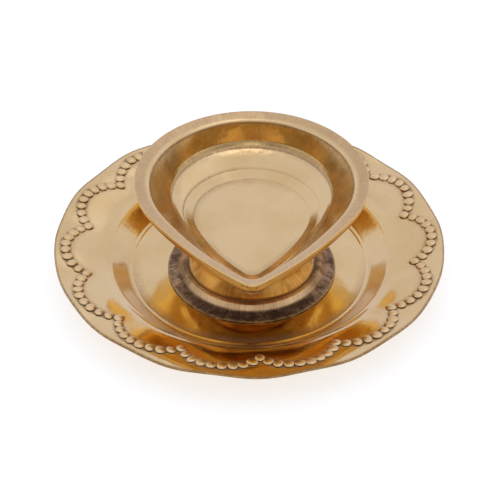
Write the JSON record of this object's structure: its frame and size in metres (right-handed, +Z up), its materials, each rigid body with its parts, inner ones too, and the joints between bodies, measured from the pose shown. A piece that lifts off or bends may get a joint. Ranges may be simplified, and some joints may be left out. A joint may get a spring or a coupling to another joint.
{
  "type": "diya oil lamp",
  "caption": "Brass diya: a leaf-shaped oil bowl on a low turned foot, standing loose in the well of a round plate with a scalloped bead line.",
  "frame": {"origin": "middle of the plate's underside, on the surface it rests on", "axes": "+Z up; the bowl's tip, where the wick lies, points to -Y; +X is to the right when the tip faces the viewer"},
  "size_m": [0.128, 0.128, 0.0328],
  "materials": {
    "polished_brass": "polished sheet brass with fine handling scratches and specks",
    "cast_brass": "polished cast brass, satin on the rim",
    "dull_brass": "turned brass with tool marks, dull and tarnished on the flange",
    "fixing_brass": "plain machined brass"
  },
  "bodies": {
    "root": {"plate": "polished_brass"},
    "lamp": {"oil_bowl": "cast_brass", "foot": "dull_brass", "washer": "fixing_brass", "fixing_screw": "fixing_brass"}
  },
  "joints": [
    {"name": "lamp_lift", "type": "slide", "parent": "root", "child": "lamp", "axis": [0, 0, 1], "range_m": [0, 0.05]}
  ]
}
